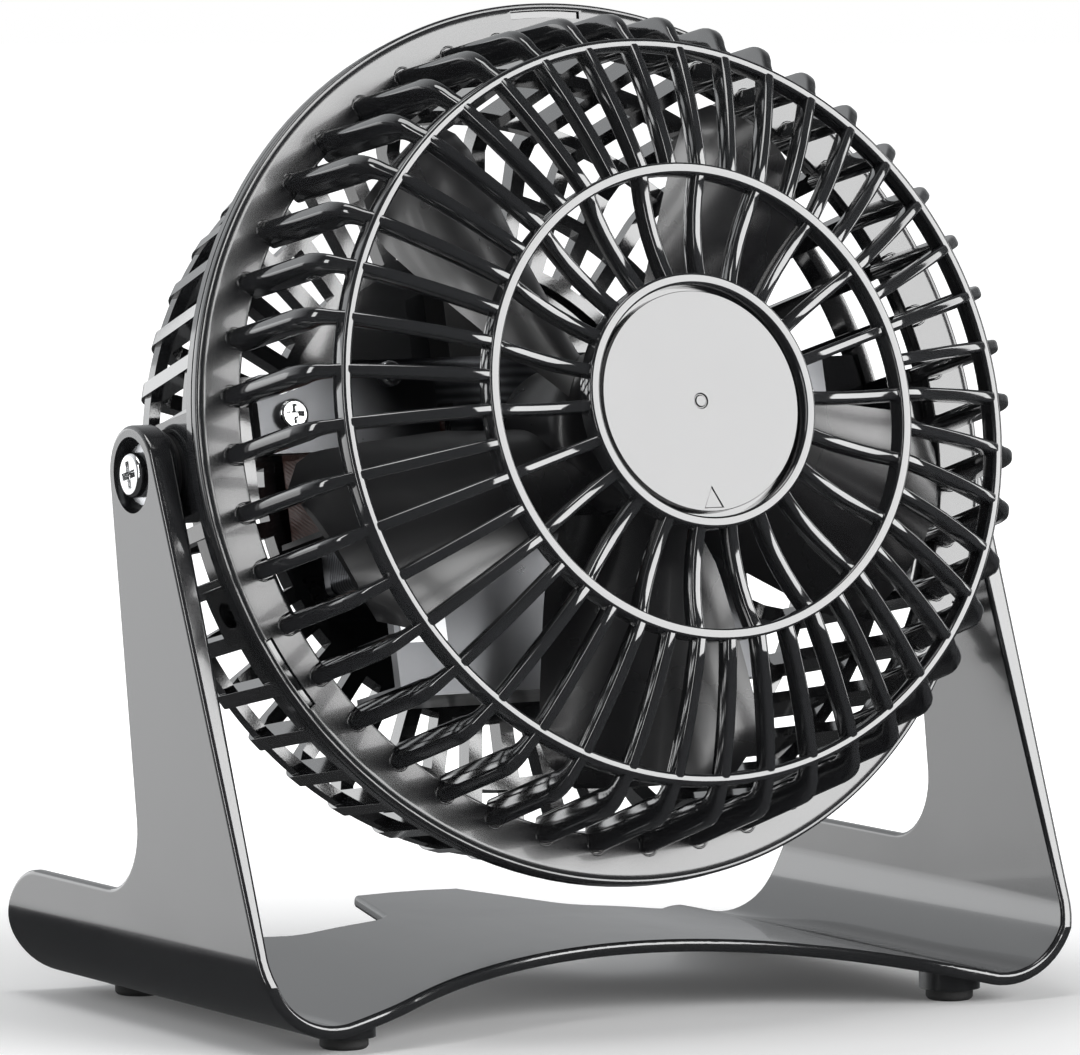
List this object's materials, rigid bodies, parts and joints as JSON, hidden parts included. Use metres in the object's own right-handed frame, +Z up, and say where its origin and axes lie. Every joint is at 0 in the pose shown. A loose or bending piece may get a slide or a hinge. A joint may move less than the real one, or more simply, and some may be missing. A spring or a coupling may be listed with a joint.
{
  "type": "desk fan",
  "caption": "Small desk fan: a round ribbed cage with its motor and impeller tilts between the two arms of a U-shaped moulded stand.",
  "frame": {"origin": "on the table, under the middle of the space the fan takes up at rest", "axes": "+X runs across the fan along the head's tilt axis, -Y is the side the air leaves from, +Z is up"},
  "size_m": [0.2028, 0.1412, 0.2138],
  "materials": {
    "stand_plastic": "glossy black moulded plastic",
    "cage_plastic": "glossy black moulded plastic",
    "badge_plastic": "glossy black moulded plastic",
    "impeller_plastic": "black moulded plastic",
    "switch_plastic": "matt black plastic",
    "rocker_plastic": "glossy black plastic",
    "bobbin_plastic": "natural nylon",
    "nylon": "natural nylon",
    "rubber": "soft black rubber",
    "screw_chrome": "bright plated steel",
    "zinc": "bright zinc-plated steel",
    "bracket_steel": "zinc-plated sheet steel",
    "core_steel": "stacked steel laminations",
    "shaft_steel": "ground steel",
    "rotor_aluminium": "die-cast cage on steel laminations",
    "copper": "enamelled copper wire",
    "bronze": "sintered bronze",
    "label_foil": "blank silver foil"
  },
  "bodies": {
    "stand": {"stand": "stand_plastic", "rubber_feet": "rubber", "pivot_washers": "zinc"},
    "head": {"front_guard": "cage_plastic", "front_badge": "badge_plastic", "rear_guard": "cage_plastic", "pivot_screws": "screw_chrome", "friction_washers": "nylon", "pivot_nuts": "zinc", "motor_bracket": "bracket_steel", "bracket_screws": "screw_chrome", "rating_label": "label_foil", "stator_core": "core_steel", "shading_rings": "copper", "coil_bobbin": "bobbin_plastic", "coil_winding": "copper", "rear_bearing_bracket": "bracket_steel", "front_bearing": "bronze", "rear_bearing": "bronze", "motor_spacers": "zinc", "motor_screws": "zinc", "motor_nuts": "zinc", "switch_housing": "switch_plastic", "cord_inlet": "switch_plastic"},
    "impeller": {"rotor": "rotor_aluminium", "shaft": "shaft_steel", "thrust_washers": "nylon", "impeller": "impeller_plastic", "impeller_nut": "impeller_plastic"},
    "rocker": {"switch_rocker": "rocker_plastic"}
  },
  "joints": [
    {"name": "head_tilt", "type": "hinge", "parent": "stand", "child": "head", "pos_m": [0, 0.00556, 0.1167], "axis": [-1, 0, 0], "range_deg": [-34, 76]},
    {"name": "impeller_spin", "type": "hinge", "parent": "head", "child": "impeller", "pos_m": [0, 0.00556, 0.1167], "axis": [0, -0.9694, 0.2453], "continuous": true},
    {"name": "switch_rock", "type": "hinge", "parent": "head", "child": "rocker", "pos_m": [0, 0.04929, 0.14071], "axis": [-1, 0, 0], "range_deg": [0, 16]}
  ]
}
